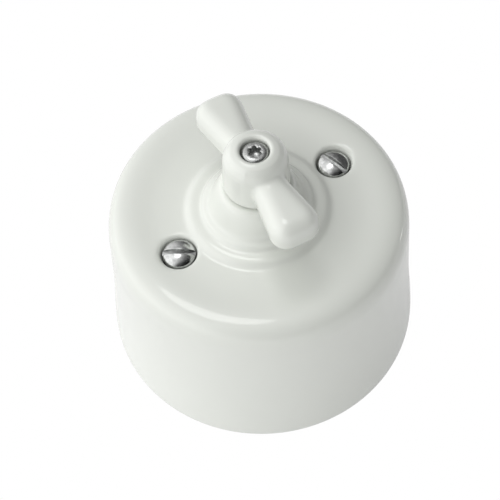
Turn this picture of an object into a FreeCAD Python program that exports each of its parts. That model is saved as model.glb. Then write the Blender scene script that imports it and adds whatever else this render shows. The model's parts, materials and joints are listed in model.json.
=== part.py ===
import FreeCAD, Part
import math
import os

# Porcelain rotary switch for surface mounting, built as its separate pieces.
# Lengths are millimetres. The wall face is on z = 0 and the spindle stands on the Z axis.
# The two cover screws are on the X axis, and the wings of the knob point roughly along Y.

# Outside of the base and the cover
FOOT_REACH = 1.3
FOOT_HEIGHT = 1.2
FOOT_ROUNDING = 0.4
SWELL_DROP = 17.0
WAIST_DEPTH = 2.8
WAIST_DROP = 4.4
RIM_REACH = 0.1
RIM_DROP = 6.4
RIM_ROUNDING = 2.2
RIM_FULLNESS = 0.55
FACE_DISH = 0.35
FACE_LAND = 10.5
CURVE_HOLD = 0.4
COVER_WALL = 4.3
COVER_TOP = 4.5
COVER_INSIDE_ROUNDING = 3.0
LIP_ROUNDING = 0.5
COVER_OVERHANG = 1.4

# Raised boss in the middle of the cover
STEP_RADIUS = 15.6
STEP_HEIGHT = 0.9
STEP_SLOPE = 1.5
COLLAR_RADIUS = 12.2
COLLAR_HEIGHT = 1.3
COLLAR_SLOPE = 0.8
DOME_FOOT_RADIUS = 11.2
DOME_TOP_RADIUS = 7.6
DOME_TOP_HEIGHT = 9.5
DOME_ROUNDING = 1.6
SOFT_EDGE = 0.5
NECK_THICKNESS = 5.0
NECK_CLEARANCE = 0.5
HOLLOW_FOOT_RADIUS = 11.0
HOLLOW_TOP_RADIUS = 5.6

# Porcelain base
PLUG_RISE = 10.8
PLUG_ROUNDING = 1.0
COVER_CLEARANCE = 0.6
BACK_RECESS_DEPTH = 5.0
POCKET_DEPTH = 0.8
POCKET_CLEARANCE = 0.2
WALL_SCREW_MARGIN = 1.8
WALL_SCREW_HOLE_RADIUS = 2.3
WALL_SCREW_HEAD_RADIUS = 3.8
WALL_SCREW_HEAD_DEPTH = 3.0
CABLE_HOLE_RADIUS = 3.75
CABLE_HOLE_MARGIN = 2.15
CABLE_HOLE_ANGLE = 22.5

# Cover screws, washers, posts and the screws behind them
POST_TO_WALL = 8.3
COVER_SCREW_RADIUS = 2.0
COVER_SCREW_HEAD_RADIUS = 3.75
COVER_SCREW_HEAD_EDGE = 1.1
COVER_SCREW_HEAD_DOME = 1.1
COVER_SCREW_LENGTH = 13.0
COVER_SCREW_SLOT = 1.2
COVER_SCREW_SLOT_DEPTH = 1.4
COVER_SCREW_SLOT_ANGLES = (-76.0, -35.0)
COUNTERBORE_RADIUS = 4.1
COUNTERBORE_DEPTH = 2.6
COUNTERBORE_ROUNDING = 0.8
SCREW_WASHER_THICKNESS = 0.5
SCREW_WASHER_RADIUS = 3.85
SCREW_HOLE_CLEARANCE = 0.3
THREAD_CLEARANCE = 0.05
PAD_RADIUS = 5.2
PAD_HEIGHT = 1.4
POST_ACROSS_FLATS = 8.0
POST_THREAD_DEPTH = 12.0
POST_FOOT_THREAD_DEPTH = 9.0
POST_CHAMFER = 0.4
POST_SCREW_LENGTH = 13.5
POST_SCREW_HEAD_RADIUS = 3.7
POST_SCREW_HEAD_HEIGHT = 2.6

# Spindle and what turns with it
JOURNAL_CLEARANCE = 0.05
SPINDLE_RADIUS = 3.0
SPINDLE_SQUARE = 4.2
LOWER_JOURNAL_RADIUS = 2.0
COLLAR_OF_SPINDLE_RADIUS = 4.3
COLLAR_OF_SPINDLE_HEIGHT = 0.9
END_PLAY = 0.2
JOURNAL_END_GAP = 0.2
DRIVE_CLEARANCE = 0.05
DRUM_RADIUS = 9.0
DRUM_HEIGHT = 6.0
DRUM_HUB_RADIUS = 5.2
DRUM_HUB_HEIGHT = 3.2
DRUM_FOOT_RADIUS = 4.2
DRUM_FOOT_HEIGHT = 1.0
DRUM_STAND = 0.3
SEGMENT_THICKNESS = 1.4
SEGMENT_WIDTH = 3.6
SEGMENT_SPAN = 116.0
SEGMENT_END_PLAY = 1.0
CAM_ACROSS_FLATS = 10.0
CAM_HEIGHT = 5.0
CAM_CORNER_ROUNDING = 1.2
SPINDLE_TIP_CHAMFER = 0.3

# Bearings and the bridge that carries the upper one
BEARING_RADIUS = 6.0
BEARING_DEPTH = 3.0
BEARING_FLANGE_RADIUS = 7.0
BEARING_FLANGE_HEIGHT = 1.7
BEARING_FLOOR = 1.0
BRIDGE_THICKNESS = 1.5
BRIDGE_WIDTH = 16.0
BRIDGE_LEG_GAP = 5.0
BRIDGE_SCREW_REACH = 5.2
BRIDGE_FOOT_MARGIN = 3.4
BRIDGE_BEND_RADIUS = 1.75
ROOF_CLEARANCE = 6.8
BRIDGE_SCREW_RADIUS = 1.5
BRIDGE_SCREW_HEAD_RADIUS = 2.8
BRIDGE_SCREW_HEAD_HEIGHT = 2.0
NUT_ACROSS_FLATS = 5.5
NUT_HEIGHT = 2.4
SCREW_END_BEYOND_NUT = 0.8
BUSH_RADIUS = 4.5
BUSH_FLANGE_RADIUS = 6.2
BUSH_FLANGE_HEIGHT = 1.2
BUSH_STAND = 0.6
THRUST_WASHER_THICKNESS = 0.5
THRUST_WASHER_RADIUS = 5.6
RETAINING_RING_THICKNESS = 0.8
RETAINING_RING_RADIUS = 4.8
RETAINING_GROOVE_DEPTH = 0.5
RETAINING_RING_MOUTH = 3.4

# Detent springs, one on each side of the square cam
SPRING_THICKNESS = 0.5
SPRING_WIDTH = 4.0
SPRING_GAP = 0.05
SPRING_OVERHANG = 1.1
SPRING_SLOT_CLEARANCE = 0.1

# Terminals, with their fingers and screws
TERMINAL_COUNT = 4
TERMINAL_FIRST_ANGLE = 45.0
TERMINAL_MARGIN = 4.4
BLOCK_LENGTH = 9.0
BLOCK_WIDTH = 9.0
BLOCK_HEIGHT = 10.0
BLOCK_CHAMFER = 0.4
WIRE_HOLE_RADIUS = 1.7
WIRE_HOLE_HEIGHT = 5.0
WIRE_HOLE_DEPTH = 6.2
TERMINAL_SCREW_RADIUS = 1.5
TERMINAL_SCREW_HEAD_RADIUS = 2.9
TERMINAL_SCREW_HEAD_HEIGHT = 2.0
TERMINAL_SCREW_LENGTH = 4.6
SMALL_SLOT = 0.8
SMALL_SLOT_DEPTH = 0.9
BLOCK_SCREW_RADIUS = 1.5
BLOCK_SCREW_HEAD_RADIUS = 2.7
BLOCK_SCREW_HEAD_HEIGHT = 2.0
BLOCK_SCREW_GRIP = 2.4
FINGER_THICKNESS = 0.5
FINGER_WIDTH = 4.2
FINGER_BEND_RADIUS = 1.0
FINGER_GAP = 0.15
FINGER_SPAN = 10.0
FINGER_ARM_HEIGHT = 1.6
FINGER_ARM_REACH = 1.8
FINGER_TIP_RISE = 2.6
FINGER_TIP_FLARE = 1.0
FINGER_SCREW_RADIUS = 1.2
FINGER_SCREW_HEAD_RADIUS = 2.0
FINGER_SCREW_HEAD_HEIGHT = 1.3
FINGER_SCREW_LENGTH = 2.7
FINGER_SCREW_DROP = 2.6

# Knob
KNOB_GAP = 0.6
KNOB_HEIGHT = 11.0
HUB_FOOT_RADIUS = 7.2
HUB_RADIUS = 7.0
HUB_SHOULDER_ROUNDING = 2.9
HUB_FOOT_ROUNDING = 0.6
KNOB_RECESS_RADIUS = 3.1
KNOB_RECESS_DEPTH = 2.5
KNOB_RECESS_ROUNDING = 0.4
KNOB_WEB = 1.1
KNOB_ROUND_SOCKET = 1.9
WING_TURN = -6.0
WING_REACH = 20.4
WING_END_HALF_WIDTH = 5.4
WING_END_ROUNDING = 4.3
WING_NECK_HALF_WIDTH = 3.5
WING_NECK_OFFSET = 4.0
WING_LIFT = 0.5
WING_HEIGHT = 7.6
WING_TOP_ROUNDING = 3.3
WING_UNDER_ROUNDING = 2.6
WING_ROOT_FILLET = 1.2

# Knob screw
KNOB_SCREW_RADIUS = 1.5
KNOB_SCREW_HEAD_RADIUS = 2.65
KNOB_SCREW_HEAD_EDGE = 1.0
KNOB_SCREW_HEAD_DOME = 1.0
KNOB_SCREW_LENGTH = 9.5
KNOB_SCREW_RUNOUT = 1.0
KNOB_SCREW_DRIVE_RADIUS = 1.15
KNOB_SCREW_LOBE_RADIUS = 0.42
KNOB_SCREW_DRIVE_DEPTH = 1.3
KNOB_SCREW_LOBES = 6

# How far apart two points may be and still count as one
TOUCH = 0.001

# The shortest straight side that an outline still gets, shorter ones being of no length
LEAST_SIDE = 0.000001

# How far a cutting shape runs past the face that it opens
CUT_PAST = 1.0

# Heights along the axis, each worked out from what lies under it
PLUG_HEIGHT = FOOT_HEIGHT + PLUG_RISE
NUT_SEAT = PLUG_HEIGHT + BRIDGE_THICKNESS
BEARING_TOP = PLUG_HEIGHT + BEARING_FLANGE_HEIGHT
BEARING_BORE_BOTTOM = PLUG_HEIGHT - BEARING_DEPTH + BEARING_FLOOR
DRUM_FOOT = BEARING_TOP + DRUM_STAND
DRUM_BOTTOM = DRUM_FOOT + DRUM_FOOT_HEIGHT
DRUM_TOP = DRUM_BOTTOM + DRUM_HEIGHT
DRUM_MIDDLE = DRUM_BOTTOM + DRUM_HEIGHT / 2
CAM_BOTTOM = DRUM_TOP + DRUM_HUB_HEIGHT
CAM_TOP = CAM_BOTTOM + CAM_HEIGHT
SPINDLE_COLLAR_TOP = CAM_TOP + COLLAR_OF_SPINDLE_HEIGHT
BUSH_BOTTOM = SPINDLE_COLLAR_TOP + END_PLAY
BRIDGE_PLATE = BUSH_BOTTOM + BUSH_FLANGE_HEIGHT
BUSH_TOP = BRIDGE_PLATE + BRIDGE_THICKNESS + BUSH_STAND
RING_BOTTOM = BUSH_TOP + THRUST_WASHER_THICKNESS + END_PLAY
ROOF = BRIDGE_PLATE + BRIDGE_THICKNESS + ROOF_CLEARANCE
FACE_HEIGHT = ROOF + COVER_TOP
RIM_HEIGHT = FACE_HEIGHT - RIM_DROP
WAIST_HEIGHT = RIM_HEIGHT - WAIST_DROP
SWELL_HEIGHT = WAIST_HEIGHT - SWELL_DROP
POST_TOP = ROOF - PAD_HEIGHT
COUNTERBORE_SEAT = FACE_HEIGHT - COUNTERBORE_DEPTH
COVER_SCREW_SEAT = COUNTERBORE_SEAT + SCREW_WASHER_THICKNESS
BLOCK_BOTTOM = PLUG_HEIGHT - POCKET_DEPTH
BLOCK_TOP = BLOCK_BOTTOM + BLOCK_HEIGHT
BOSS_TOP = FACE_HEIGHT + DOME_TOP_HEIGHT
KNOB_BOTTOM = BOSS_TOP + KNOB_GAP
KNOB_TOP = KNOB_BOTTOM + KNOB_HEIGHT
KNOB_SCREW_SEAT = KNOB_TOP - KNOB_RECESS_DEPTH
SPINDLE_TOP = KNOB_SCREW_SEAT - KNOB_WEB
SPINDLE_SHOULDER = KNOB_BOTTOM + KNOB_ROUND_SOCKET

# Plan positions, each worked out from what lies inside it
BRIDGE_LEG_OFFSET = DRUM_RADIUS + BRIDGE_LEG_GAP
BRIDGE_SCREW_OFFSET = BRIDGE_LEG_OFFSET + BRIDGE_SCREW_REACH
BRIDGE_FOOT_END = BRIDGE_SCREW_OFFSET + BRIDGE_FOOT_MARGIN
TERMINAL_OFFSET = DRUM_RADIUS + FINGER_SPAN + BLOCK_LENGTH / 2
PLUG_RADIUS = TERMINAL_OFFSET + BLOCK_LENGTH / 2 + TERMINAL_MARGIN
WALL_SCREW_OFFSET = PLUG_RADIUS - WALL_SCREW_MARGIN - WALL_SCREW_HEAD_RADIUS
CABLE_HOLE_OFFSET = PLUG_RADIUS - CABLE_HOLE_MARGIN - CABLE_HOLE_RADIUS
SWELL_RADIUS = PLUG_RADIUS + COVER_WALL
COVER_FOOT_RADIUS = SWELL_RADIUS + FOOT_REACH
FOOT_RADIUS = COVER_FOOT_RADIUS - COVER_OVERHANG
WAIST_RADIUS = SWELL_RADIUS - WAIST_DEPTH
RIM_RADIUS = WAIST_RADIUS + RIM_REACH
DISH_RADIUS = RIM_RADIUS - FACE_LAND
COVER_SCREW_OFFSET = WAIST_RADIUS - COVER_WALL - POST_TO_WALL
COVER_BORE_RADIUS = PLUG_RADIUS + COVER_CLEARANCE
NECK_HOLE_RADIUS = SPINDLE_RADIUS + NECK_CLEARANCE
SPRING_FACE = CAM_ACROSS_FLATS / 2 + SPRING_GAP
BLOCK_INNER_FACE = TERMINAL_OFFSET - BLOCK_LENGTH / 2
FINGER_CONTACT = DRUM_RADIUS + FINGER_GAP + FINGER_THICKNESS / 2
POST_SCREW_HOLE_RADIUS = COVER_SCREW_RADIUS + SCREW_HOLE_CLEARANCE


def vector(x, y, z):
    return FreeCAD.Vector(x, y, z)


UP = vector(0, 0, 1)
CENTRE = vector(0, 0, 0)


def cylinder(radius, bottom, top, x=0.0, y=0.0):
    return Part.makeCylinder(radius, top - bottom, vector(x, y, bottom), UP)


def box(x_size, y_size, bottom, top, x=0.0, y=0.0):
    corner = vector(x - x_size / 2, y - y_size / 2, bottom)
    return Part.makeBox(x_size, y_size, top - bottom, corner)


def turned(shape, angle):
    copy = shape.copy()
    copy.rotate(CENTRE, UP, angle)
    return copy


def moved(shape, x, y, z):
    copy = shape.copy()
    copy.translate(vector(x, y, z))
    return copy


def joined(shapes):
    whole = shapes[0]
    for shape in shapes[1:]:
        whole = whole.fuse(shape)
    return whole.removeSplitter()


def cut(shape, tools):
    for tool in tools:
        shape = shape.cut(tool)
    return shape


def in_profile(across, up):
    return vector(across, 0, up)


def in_plan(x, y):
    return vector(x, y, 0)


def rounded_outline(corners, place):
    # A closed outline of straight sides. Each corner is (first, second, rounding).
    count = len(corners)
    stretches = []
    for i in range(count):
        point = place(corners[i][0], corners[i][1])
        radius = corners[i][2] if len(corners[i]) > 2 else 0.0
        if radius <= 0:
            stretches.append([point])
            continue
        before = place(*corners[i - 1][:2]) - point
        after = place(*corners[(i + 1) % count][:2]) - point
        before.normalize()
        after.normalize()
        half = before.getAngle(after) / 2
        reach = radius / math.tan(half)
        bisector = before + after
        bisector.normalize()
        middle = point + bisector * (radius / math.sin(half) - radius)
        stretches.append([point + before * reach, middle, point + after * reach])
    edges = []
    for i in range(count):
        stretch = stretches[i]
        if len(stretch) == 3:
            edges.append(Part.Arc(*stretch).toShape())
        end = stretches[(i + 1) % count][0]
        if (stretch[-1] - end).Length > LEAST_SIDE:
            edges.append(Part.makeLine(stretch[-1], end))
    return Part.Wire(edges)


def revolved(corners):
    face = Part.Face(rounded_outline(corners, in_profile))
    return face.revolve(CENTRE, UP, 360)


def extruded(corners, bottom, top):
    face = Part.Face(rounded_outline(corners, in_plan))
    face.translate(vector(0, 0, bottom))
    return face.extrude(vector(0, 0, top - bottom))


def ring(inner, outer, bottom, top):
    return cylinder(outer, bottom, top).cut(cylinder(inner, bottom, top))


def square_bar(size, bottom, top, rounding=0.0):
    half = size / 2
    corners = [(-half, -half, rounding), (half, -half, rounding), (half, half, rounding), (-half, half, rounding)]
    return extruded(corners, bottom, top)


def hexagon(across_flats, bottom, top):
    reach = across_flats / 2 / math.cos(math.radians(30))
    corners = []
    for i in range(6):
        angle = math.radians(30 + 60 * i)
        corners.append((reach * math.cos(angle), reach * math.sin(angle)))
    return extruded(corners, bottom, top)


def bent_strip(path, thickness, width, bend_radius):
    # A folded strip. The path is the middle line in the XZ plane, and the width lies along Y.
    last = len(path) - 1
    sides = ([], [])
    for i, (x, z) in enumerate(path):
        here = vector(x, 0, z)
        incoming = here - vector(path[i - 1][0], 0, path[i - 1][1]) if i else None
        outgoing = vector(path[i + 1][0], 0, path[i + 1][1]) - here if i < last else None
        incoming = incoming or outgoing
        outgoing = outgoing or incoming
        first_normal = vector(-incoming.z, 0, incoming.x).normalize()
        second_normal = vector(-outgoing.z, 0, outgoing.x).normalize()
        miter = first_normal + second_normal
        miter = miter * (thickness / (miter.Length ** 2))
        turn = incoming.x * outgoing.z - incoming.z * outgoing.x
        inner = bend_radius - thickness / 2
        outer = bend_radius + thickness / 2
        radius = 0.0 if i in (0, last) else 1.0
        left_radius = radius * (inner if turn > 0 else outer)
        right_radius = radius * (outer if turn > 0 else inner)
        sides[0].append((here.x + miter.x, here.z + miter.z, left_radius))
        sides[1].append((here.x - miter.x, here.z - miter.z, right_radius))
    face = Part.Face(rounded_outline(sides[0] + sides[1][::-1], in_profile))
    face.translate(vector(0, -width / 2, 0))
    return face.extrude(vector(0, width, 0))


def curve(poles):
    bezier = Part.BezierCurve()
    bezier.setPoles([in_profile(*pole) for pole in poles])
    return bezier.toShape()


def screw(head_radius, head_edge, head_dome, radius, length):
    # Points up: the head's underside is on z = 0 and the shank hangs below it.
    side = cylinder(head_radius, 0, head_edge)
    shank = cylinder(radius, -length, 0)
    parts = [side, shank]
    if head_dome > 0:
        sphere_radius = (head_radius ** 2 + head_dome ** 2) / (2 * head_dome)
        sphere = Part.makeSphere(sphere_radius, vector(0, 0, head_edge + head_dome - sphere_radius))
        parts.append(sphere.common(cylinder(head_radius, head_edge, head_edge + head_dome)))
    return joined(parts)


def slotted(shape, top, slot_width, slot_depth, angle=0.0):
    reach = shape.BoundBox.DiagonalLength
    slot = turned(box(reach, slot_width, top - slot_depth, top + CUT_PAST), angle)
    return shape.cut(slot)


def small_screw(head_radius, head_height, radius, length):
    plain = screw(head_radius, head_height, 0.0, radius, length)
    return slotted(plain, head_height, SMALL_SLOT, SMALL_SLOT_DEPTH)


def pointing_down(shape):
    copy = shape.copy()
    copy.rotate(CENTRE, vector(1, 0, 0), 180)
    return copy


def on_both_sides(shape):
    return [shape, turned(shape, 180)]


def terminal_angles():
    step = 360.0 / TERMINAL_COUNT
    return [TERMINAL_FIRST_ANGLE + step * i for i in range(TERMINAL_COUNT)]


def cable_hole_places():
    places = []
    for side in (-1, 1):
        angle = math.radians(180 + side * CABLE_HOLE_ANGLE)
        places.append((CABLE_HOLE_OFFSET * math.cos(angle), CABLE_HOLE_OFFSET * math.sin(angle)))
    return places


def back_hole(x, y, hole_radius, recess_radius):
    hole = cylinder(hole_radius, 0, PLUG_HEIGHT, x, y)
    recess = cylinder(recess_radius, 0, BACK_RECESS_DEPTH, x, y)
    return hole.fuse(recess)


def base():
    body = revolved([
        (0, 0),
        (FOOT_RADIUS, 0, FOOT_ROUNDING),
        (FOOT_RADIUS, FOOT_HEIGHT, SOFT_EDGE / 2),
        (PLUG_RADIUS, FOOT_HEIGHT),
        (PLUG_RADIUS, PLUG_HEIGHT, PLUG_ROUNDING),
        (0, PLUG_HEIGHT),
    ])
    head_room = 2 * SCREW_HOLE_CLEARANCE
    tools = [cylinder(BEARING_RADIUS, PLUG_HEIGHT - BEARING_DEPTH, PLUG_HEIGHT)]
    for side in (-1, 1):
        post = side * COVER_SCREW_OFFSET
        tools.append(back_hole(post, 0, POST_SCREW_HOLE_RADIUS, POST_SCREW_HEAD_RADIUS + head_room))
        foot = side * BRIDGE_SCREW_OFFSET
        hole = BRIDGE_SCREW_RADIUS + SCREW_HOLE_CLEARANCE
        tools.append(back_hole(0, foot, hole, BRIDGE_SCREW_HEAD_RADIUS + head_room))
        wall = side * WALL_SCREW_OFFSET
        head_seat = PLUG_HEIGHT - WALL_SCREW_HEAD_DEPTH
        tools.append(cylinder(WALL_SCREW_HOLE_RADIUS, 0, PLUG_HEIGHT, 0, wall))
        tools.append(cylinder(WALL_SCREW_HEAD_RADIUS, head_seat, PLUG_HEIGHT, 0, wall))
    for x, y in cable_hole_places():
        tools.append(cylinder(CABLE_HOLE_RADIUS, 0, PLUG_HEIGHT, x, y))
    pocket = box(
        BLOCK_LENGTH + 2 * POCKET_CLEARANCE,
        BLOCK_WIDTH + 2 * POCKET_CLEARANCE,
        BLOCK_BOTTOM,
        PLUG_HEIGHT,
        TERMINAL_OFFSET,
    )
    hole = BLOCK_SCREW_RADIUS + SCREW_HOLE_CLEARANCE
    screw_hole = back_hole(TERMINAL_OFFSET, 0, hole, BLOCK_SCREW_HEAD_RADIUS + head_room)
    for angle in terminal_angles():
        tools.append(turned(pocket, angle))
        tools.append(turned(screw_hole, angle))
    return cut(body, tools)


def cover_shell():
    # The wall swells from the foot, draws in to the waist, and turns over the rim to the face.
    foot = (COVER_FOOT_RADIUS, FOOT_HEIGHT + LIP_ROUNDING)
    swell = (SWELL_RADIUS, SWELL_HEIGHT)
    waist = (WAIST_RADIUS, WAIST_HEIGHT)
    rim = (RIM_RADIUS, RIM_HEIGHT)
    face_edge = (RIM_RADIUS - RIM_ROUNDING, FACE_HEIGHT)
    lean = (foot[0] - swell[0]) / (swell[1] - foot[1])
    draw = (waist[1] - swell[1]) / 3
    turn = (rim[1] - waist[1]) * CURVE_HOLD
    rise = face_edge[1] - rim[1]
    outside = [
        Part.makeLine(in_profile(*foot), in_profile(*swell)),
        curve([swell, (swell[0] - draw * lean, swell[1] + draw), (waist[0], waist[1] - draw), waist]),
        curve([waist, (waist[0], waist[1] + turn), (rim[0], rim[1] - turn), rim]),
        curve([
            rim,
            (rim[0], rim[1] + rise * RIM_FULLNESS),
            (face_edge[0] + RIM_ROUNDING * RIM_FULLNESS, face_edge[1]),
            face_edge,
        ]),
        curve([
            face_edge,
            ((face_edge[0] + DISH_RADIUS) / 2, FACE_HEIGHT),
            ((face_edge[0] + DISH_RADIUS) / 2, FACE_HEIGHT - FACE_DISH),
            (DISH_RADIUS, FACE_HEIGHT - FACE_DISH),
        ]),
        Part.makeLine(
            in_profile(DISH_RADIUS, FACE_HEIGHT - FACE_DISH), in_profile(0, FACE_HEIGHT - FACE_DISH)
        ),
        Part.makeLine(in_profile(0, FACE_HEIGHT - FACE_DISH), in_profile(0, FOOT_HEIGHT)),
        Part.makeLine(in_profile(0, FOOT_HEIGHT), in_profile(foot[0] - LIP_ROUNDING, FOOT_HEIGHT)),
        Part.Arc(
            in_profile(foot[0] - LIP_ROUNDING, FOOT_HEIGHT),
            in_profile(
                foot[0] - LIP_ROUNDING * (1 - math.sqrt(0.5)),
                foot[1] - LIP_ROUNDING * math.sqrt(0.5),
            ),
            in_profile(*foot),
        ).toShape(),
    ]
    return Part.Face(Part.Wire(outside)).revolve(CENTRE, UP, 360)


def cover_boss():
    # Two low steps and a dome, all turned together with the face.
    level = FACE_HEIGHT - FACE_DISH
    step_top = level + STEP_HEIGHT
    collar_top = step_top + COLLAR_HEIGHT
    return revolved([
        (0, ROOF),
        (STEP_RADIUS + STEP_SLOPE, ROOF),
        (STEP_RADIUS + STEP_SLOPE, level),
        (STEP_RADIUS, step_top, STEP_SLOPE),
        (COLLAR_RADIUS + COLLAR_SLOPE, step_top, COLLAR_SLOPE / 2),
        (COLLAR_RADIUS, collar_top, COLLAR_SLOPE / 2),
        (DOME_FOOT_RADIUS, collar_top, SOFT_EDGE / 2),
        (DOME_TOP_RADIUS, BOSS_TOP, DOME_ROUNDING),
        (0, BOSS_TOP),
    ])


def cover_cavity():
    return revolved([
        (0, 0),
        (COVER_BORE_RADIUS, 0),
        (COVER_BORE_RADIUS, FOOT_HEIGHT + CUT_PAST),
        (SWELL_RADIUS - COVER_WALL, SWELL_HEIGHT, COVER_INSIDE_ROUNDING),
        (WAIST_RADIUS - COVER_WALL, WAIST_HEIGHT, COVER_INSIDE_ROUNDING),
        (WAIST_RADIUS - COVER_WALL, ROOF, COVER_INSIDE_ROUNDING),
        (HOLLOW_FOOT_RADIUS, ROOF),
        (HOLLOW_TOP_RADIUS, BOSS_TOP - NECK_THICKNESS),
        (0, BOSS_TOP - NECK_THICKNESS),
    ])


def counterbore():
    # Widens at its mouth, where the glaze runs over the edge.
    mouth = FACE_HEIGHT + CUT_PAST
    return revolved([
        (0, COUNTERBORE_SEAT),
        (COUNTERBORE_RADIUS, COUNTERBORE_SEAT, SOFT_EDGE / 2),
        (COUNTERBORE_RADIUS, FACE_HEIGHT - COUNTERBORE_ROUNDING, COUNTERBORE_ROUNDING),
        (COUNTERBORE_RADIUS + COUNTERBORE_ROUNDING, FACE_HEIGHT),
        (COUNTERBORE_RADIUS + COUNTERBORE_ROUNDING, mouth),
        (0, mouth),
    ])


def cover():
    body = joined([cover_shell(), cover_boss()])
    body = body.cut(cover_cavity())
    pad = cylinder(PAD_RADIUS, POST_TOP, ROOF + CUT_PAST, COVER_SCREW_OFFSET)
    body = joined([body] + on_both_sides(pad))
    tools = [cylinder(NECK_HOLE_RADIUS, ROOF, BOSS_TOP)]
    screw_hole = cylinder(
        COVER_SCREW_RADIUS + SCREW_HOLE_CLEARANCE, POST_TOP, FACE_HEIGHT, COVER_SCREW_OFFSET
    )
    tools += on_both_sides(screw_hole)
    tools += on_both_sides(moved(counterbore(), COVER_SCREW_OFFSET, 0, 0))
    return cut(body, tools)


def cover_screws():
    whole = screw(
        COVER_SCREW_HEAD_RADIUS,
        COVER_SCREW_HEAD_EDGE,
        COVER_SCREW_HEAD_DOME,
        COVER_SCREW_RADIUS,
        COVER_SCREW_LENGTH,
    )
    head_top = COVER_SCREW_HEAD_EDGE + COVER_SCREW_HEAD_DOME
    screws = []
    for side, angle in zip((1, -1), COVER_SCREW_SLOT_ANGLES):
        one = slotted(whole, head_top, COVER_SCREW_SLOT, COVER_SCREW_SLOT_DEPTH, angle)
        screws.append(moved(one, side * COVER_SCREW_OFFSET, 0, COVER_SCREW_SEAT))
    return Part.makeCompound(screws)


def cover_screw_washers():
    inner = COVER_SCREW_RADIUS + SCREW_HOLE_CLEARANCE
    washer = ring(inner, SCREW_WASHER_RADIUS, COUNTERBORE_SEAT, COVER_SCREW_SEAT)
    return Part.makeCompound(on_both_sides(moved(washer, COVER_SCREW_OFFSET, 0, 0)))


def cover_post():
    # A hexagonal brass post with a thread in each end.
    post = hexagon(POST_ACROSS_FLATS, PLUG_HEIGHT, POST_TOP)
    corner = POST_ACROSS_FLATS / 2 / math.cos(math.radians(30))
    turned_ends = revolved([
        (0, PLUG_HEIGHT),
        (corner - POST_CHAMFER, PLUG_HEIGHT),
        (corner, PLUG_HEIGHT + POST_CHAMFER),
        (corner, POST_TOP - POST_CHAMFER),
        (corner - POST_CHAMFER, POST_TOP),
        (0, POST_TOP),
    ])
    thread = COVER_SCREW_RADIUS + THREAD_CLEARANCE
    holes = [
        cylinder(thread, POST_TOP - POST_THREAD_DEPTH, POST_TOP),
        cylinder(thread, PLUG_HEIGHT, PLUG_HEIGHT + POST_FOOT_THREAD_DEPTH),
    ]
    return cut(post.common(turned_ends), holes)


def post_screws():
    one = small_screw(
        POST_SCREW_HEAD_RADIUS, POST_SCREW_HEAD_HEIGHT, COVER_SCREW_RADIUS, POST_SCREW_LENGTH
    )
    one = moved(pointing_down(one), COVER_SCREW_OFFSET, 0, BACK_RECESS_DEPTH)
    return Part.makeCompound(on_both_sides(one))


def bearing_bridge():
    middle = BRIDGE_THICKNESS / 2
    foot_level = PLUG_HEIGHT + middle
    plate_level = BRIDGE_PLATE + middle
    path = [
        (-BRIDGE_FOOT_END, foot_level),
        (-BRIDGE_LEG_OFFSET, foot_level),
        (-BRIDGE_LEG_OFFSET, plate_level),
        (BRIDGE_LEG_OFFSET, plate_level),
        (BRIDGE_LEG_OFFSET, foot_level),
        (BRIDGE_FOOT_END, foot_level),
    ]
    strip = bent_strip(path, BRIDGE_THICKNESS, BRIDGE_WIDTH, BRIDGE_BEND_RADIUS)
    strip = turned(strip, 90)
    tools = [cylinder(BUSH_RADIUS, BRIDGE_PLATE, BRIDGE_PLATE + BRIDGE_THICKNESS)]
    foot_hole = cylinder(
        BRIDGE_SCREW_RADIUS + SCREW_HOLE_CLEARANCE, PLUG_HEIGHT, NUT_SEAT, 0, BRIDGE_SCREW_OFFSET
    )
    tools += on_both_sides(foot_hole)
    slot = box(
        SPRING_THICKNESS + 2 * SPRING_SLOT_CLEARANCE,
        2 * (BRIDGE_LEG_OFFSET + BRIDGE_THICKNESS),
        spring_bottom() - SPRING_SLOT_CLEARANCE,
        spring_bottom() + SPRING_WIDTH + SPRING_SLOT_CLEARANCE,
        SPRING_FACE + SPRING_THICKNESS / 2,
    )
    tools += on_both_sides(slot)
    return cut(strip, tools)


def bridge_screws():
    length = PLUG_HEIGHT - BACK_RECESS_DEPTH + BRIDGE_THICKNESS + NUT_HEIGHT + SCREW_END_BEYOND_NUT
    one = small_screw(
        BRIDGE_SCREW_HEAD_RADIUS, BRIDGE_SCREW_HEAD_HEIGHT, BRIDGE_SCREW_RADIUS, length
    )
    one = moved(pointing_down(one), 0, BRIDGE_SCREW_OFFSET, BACK_RECESS_DEPTH)
    return Part.makeCompound(on_both_sides(one))


def bridge_nuts():
    nut = hexagon(NUT_ACROSS_FLATS, NUT_SEAT, NUT_SEAT + NUT_HEIGHT)
    bore = cylinder(BRIDGE_SCREW_RADIUS + THREAD_CLEARANCE, NUT_SEAT, NUT_SEAT + NUT_HEIGHT)
    return Part.makeCompound(on_both_sides(moved(nut.cut(bore), 0, BRIDGE_SCREW_OFFSET, 0)))


def bearing_bush():
    bore = SPINDLE_RADIUS + JOURNAL_CLEARANCE
    flange = ring(bore, BUSH_FLANGE_RADIUS, BUSH_BOTTOM, BRIDGE_PLATE)
    barrel = ring(bore, BUSH_RADIUS - THREAD_CLEARANCE, BRIDGE_PLATE, BUSH_TOP)
    return joined([flange, barrel])


def lower_bearing():
    barrel = cylinder(BEARING_RADIUS - THREAD_CLEARANCE, PLUG_HEIGHT - BEARING_DEPTH, PLUG_HEIGHT)
    flange = cylinder(BEARING_FLANGE_RADIUS, PLUG_HEIGHT, BEARING_TOP)
    bore = cylinder(LOWER_JOURNAL_RADIUS + JOURNAL_CLEARANCE, BEARING_BORE_BOTTOM, BEARING_TOP)
    return joined([barrel, flange]).cut(bore)


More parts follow.
